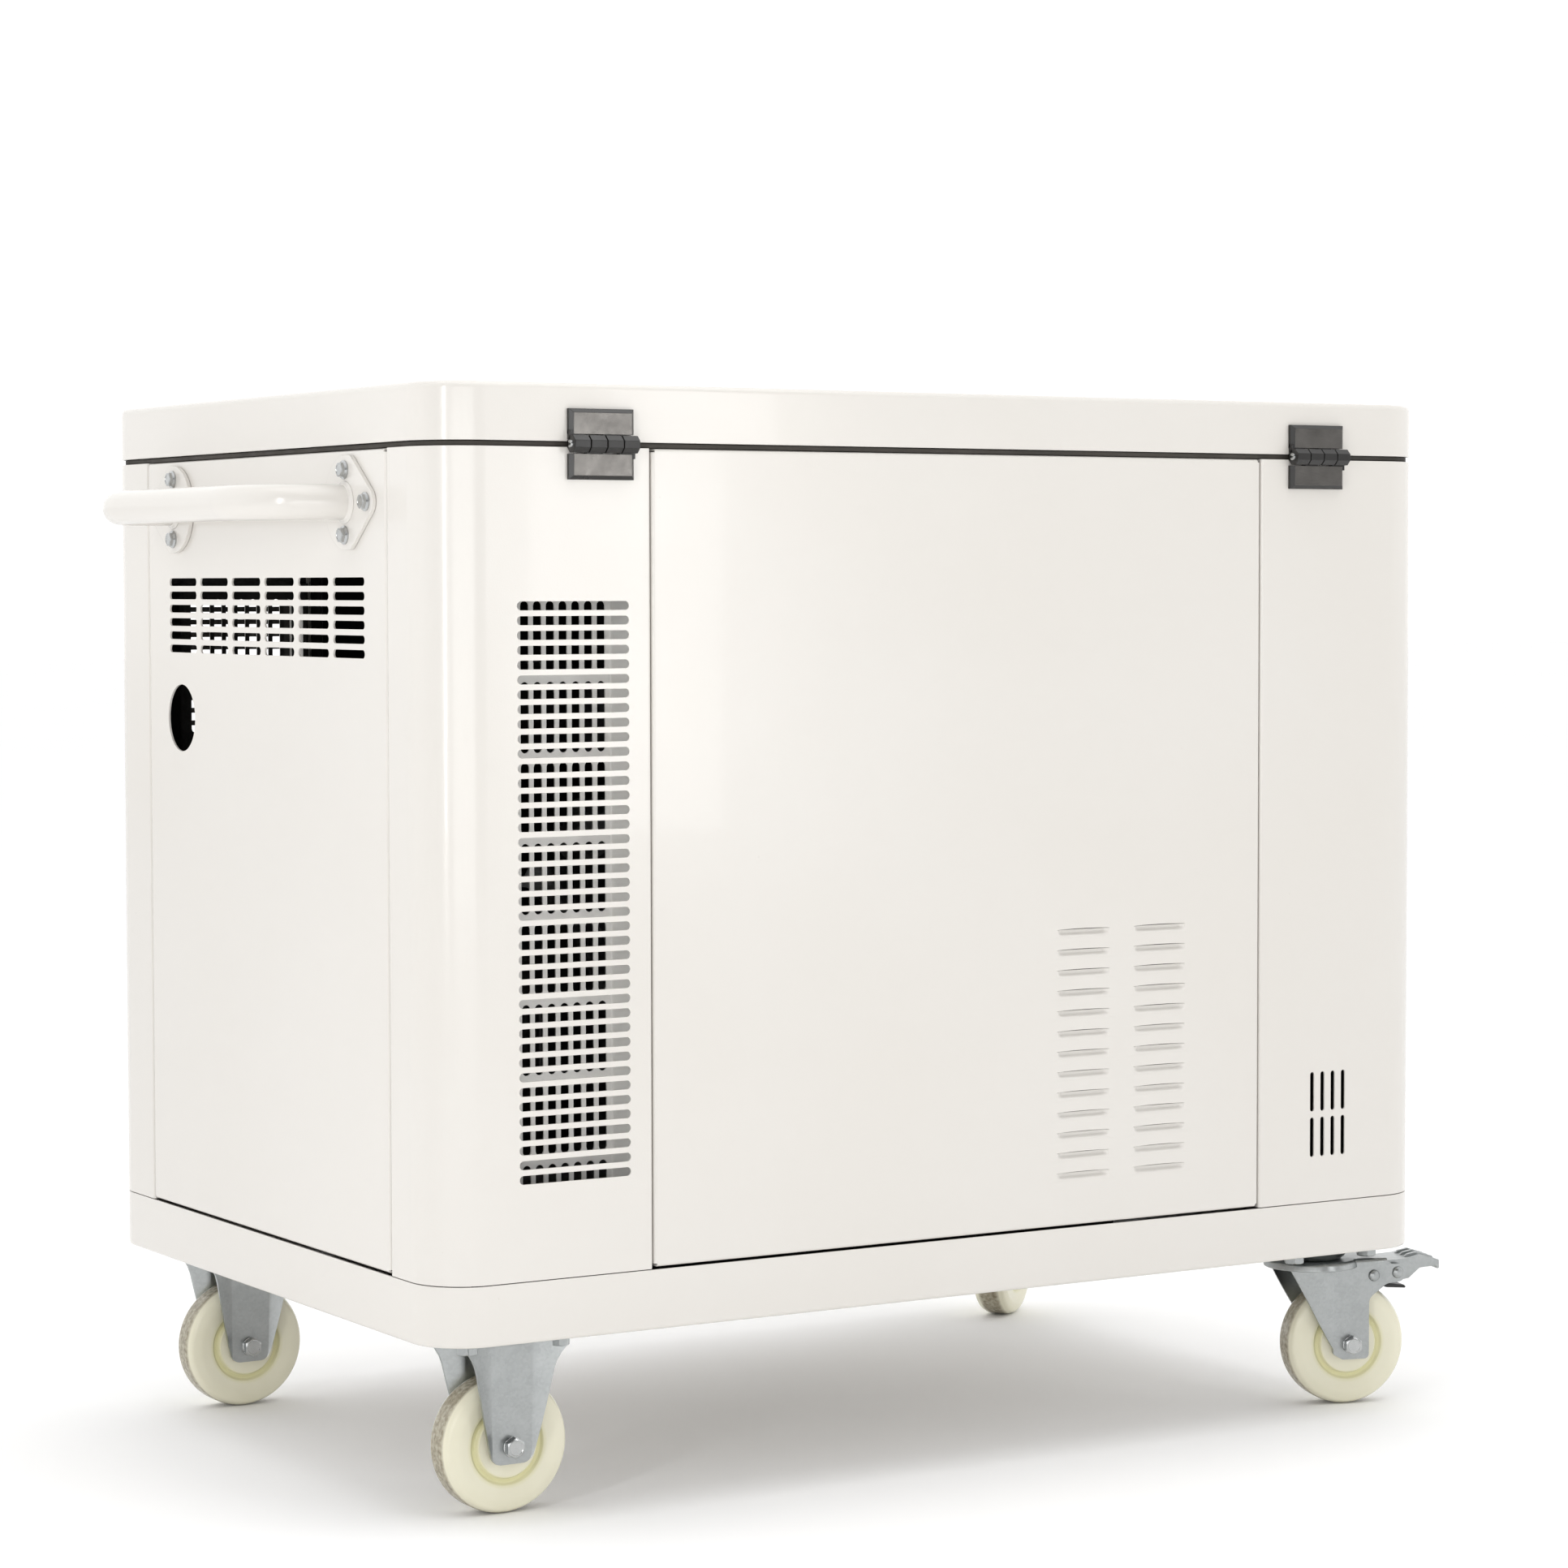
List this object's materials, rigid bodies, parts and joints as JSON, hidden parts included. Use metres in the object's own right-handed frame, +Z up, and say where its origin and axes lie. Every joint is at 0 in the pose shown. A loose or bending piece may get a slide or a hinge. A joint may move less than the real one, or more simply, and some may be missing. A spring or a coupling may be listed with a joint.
{
  "type": "portable generator",
  "caption": "Enclosed generator set in an ivory sheet-metal cabinet with a hinged lid, louvres, tubular end handles and four casters.",
  "frame": {"origin": "on the floor, under the middle of the overall box", "axes": "+Z up, +X along the length towards the swivel casters, +Y towards the controls; the lid hinges are on the -Y side"},
  "size_m": [1.3056, 0.765, 1.005],
  "materials": {
    "powder_coat": "glossy ivory powder coat",
    "rubber": "matt black",
    "black_steel": "satin black",
    "zinc": "bright zinc plate",
    "nylon": "cream nylon, satin",
    "cast_alloy": "as cast",
    "black_plastic": "matt black",
    "red_plastic": "gloss red"
  },
  "bodies": {
    "cabinet": {"base_tray": "powder_coat", "post_rear_left": "powder_coat", "post_rear_right": "powder_coat", "post_front_left": "powder_coat", "post_front_right": "powder_coat", "rear_panel": "powder_coat", "front_panel": "powder_coat", "left_end_panel": "powder_coat", "right_end_panel": "powder_coat", "intake_baffle_rear": "powder_coat", "intake_baffle_front": "powder_coat", "handle_left": "powder_coat", "handle_right": "powder_coat", "lid_seal": "rubber", "mount_rear_left": "rubber", "mount_rear_right": "rubber", "mount_front_left": "rubber", "mount_front_right": "rubber", "hinge_left_lower_leaf": "black_steel", "hinge_right_lower_leaf": "black_steel", "rail_rear": "black_steel", "rail_front": "black_steel", "muffler": "black_steel", "control_panel": "black_steel", "hinge_left_pin": "zinc", "hinge_right_pin": "zinc", "caster_fixed_rear_fork": "zinc", "caster_fixed_rear_axle_bolt": "zinc", "caster_fixed_front_fork": "zinc", "caster_fixed_front_axle_bolt": "zinc", "caster_swivel_rear_plate": "zinc", "caster_swivel_front_plate": "zinc", "crankcase": "cast_alloy", "cylinder_rear": "cast_alloy", "cylinder_front": "cast_alloy", "alternator": "cast_alloy", "air_cleaner": "black_plastic", "fuel_tank": "black_plastic", "battery": "black_plastic", "power_socket": "black_plastic"},
    "lid": {"lid": "powder_coat", "hinge_left_upper_leaf": "black_steel", "hinge_right_upper_leaf": "black_steel"},
    "latch_left": {"lid_latch_left": "black_plastic"},
    "latch_right": {"lid_latch_right": "black_plastic"},
    "wheel_fixed_rear": {"caster_fixed_rear_wheel": "nylon"},
    "wheel_fixed_front": {"caster_fixed_front_wheel": "nylon"},
    "swivel_rear": {"caster_swivel_rear_fork": "zinc", "caster_swivel_rear_axle_bolt": "zinc"},
    "swivel_front": {"caster_swivel_front_fork": "zinc", "caster_swivel_front_axle_bolt": "zinc"},
    "wheel_swivel_rear": {"caster_swivel_rear_wheel": "nylon"},
    "wheel_swivel_front": {"caster_swivel_front_wheel": "nylon"},
    "pedal_rear": {"caster_swivel_rear_brake_pedal": "zinc"},
    "pedal_front": {"caster_swivel_front_brake_pedal": "zinc"},
    "engine_rotor": {"cooling_fan": "black_plastic"},
    "fuel_cap": {"fuel_cap": "black_plastic"},
    "key_switch": {"key_switch": "zinc"},
    "main_switch": {"main_switch": "black_plastic"},
    "emergency_stop": {"emergency_stop": "red_plastic"}
  },
  "joints": [
    {"name": "lid_hinge", "type": "hinge", "parent": "cabinet", "child": "lid", "pos_m": [0, -0.376, 0.9516], "axis": [1, 0, 0], "range_deg": [0, 95]},
    {"name": "lid_latch_turn_left", "type": "hinge", "parent": "lid", "child": "latch_left", "pos_m": [-0.3, 0.3683, 0.9795], "axis": [0, 1, 0], "range_deg": [0, 90]},
    {"name": "lid_latch_turn_right", "type": "hinge", "parent": "lid", "child": "latch_right", "pos_m": [0.3, 0.3683, 0.9795], "axis": [0, 1, 0], "range_deg": [0, 90]},
    {"name": "wheel_fixed_rear_spin", "type": "hinge", "parent": "cabinet", "child": "wheel_fixed_rear", "pos_m": [-0.4515, -0.285, 0.0625], "axis": [0, 1, 0], "continuous": true},
    {"name": "wheel_fixed_front_spin", "type": "hinge", "parent": "cabinet", "child": "wheel_fixed_front", "pos_m": [-0.4515, 0.285, 0.0625], "axis": [0, 1, 0], "continuous": true},
    {"name": "caster_rear_swivel", "type": "hinge", "parent": "cabinet", "child": "swivel_rear", "pos_m": [0.4715, -0.285, 0.15], "axis": [0, 0, 1], "continuous": true},
    {"name": "wheel_swivel_rear_spin", "type": "hinge", "parent": "swivel_rear", "child": "wheel_swivel_rear", "pos_m": [0.50313, -0.29443, 0.0625], "axis": [0.2857, 0.9583, 0], "continuous": true},
    {"name": "brake_pedal_rear_press", "type": "hinge", "parent": "swivel_rear", "child": "pedal_rear", "pos_m": [0.53475, -0.30385, 0.128], "axis": [0.2857, 0.9583, 0], "range_deg": [0, 10]},
    {"name": "caster_front_swivel", "type": "hinge", "parent": "cabinet", "child": "swivel_front", "pos_m": [0.4715, 0.285, 0.15], "axis": [0, 0, 1], "continuous": true},
    {"name": "wheel_swivel_front_spin", "type": "hinge", "parent": "swivel_front", "child": "wheel_swivel_front", "pos_m": [0.4975, 0.30532, 0.0625], "axis": [-0.6157, 0.788, 0], "continuous": true},
    {"name": "brake_pedal_front_press", "type": "hinge", "parent": "swivel_front", "child": "pedal_front", "pos_m": [0.52351, 0.32563, 0.128], "axis": [-0.6157, 0.788, 0], "range_deg": [0, 10]},
    {"name": "engine_spin", "type": "hinge", "parent": "cabinet", "child": "engine_rotor", "pos_m": [-0.2603, 0, 0.4], "axis": [1, 0, 0], "continuous": true},
    {"name": "fuel_cap_turn", "type": "hinge", "parent": "cabinet", "child": "fuel_cap", "pos_m": [0.33, -0.1, 0.8803], "axis": [0, 0, 1], "range_deg": [0, 90]},
    {"name": "key_turn", "type": "hinge", "parent": "cabinet", "child": "key_switch", "pos_m": [-0.05, 0.366, 0.835], "axis": [0, 1, 0], "range_deg": [0, 60]},
    {"name": "main_switch_turn", "type": "hinge", "parent": "cabinet", "child": "main_switch", "pos_m": [-0.12, 0.366, 0.825], "axis": [0, 1, 0], "range_deg": [0, 90]},
    {"name": "emergency_stop_press", "type": "slide", "parent": "cabinet", "child": "emergency_stop", "axis": [0, -1, 0], "range_m": [0, 0.005], "stiffness_N_per_m": 400}
  ]
}
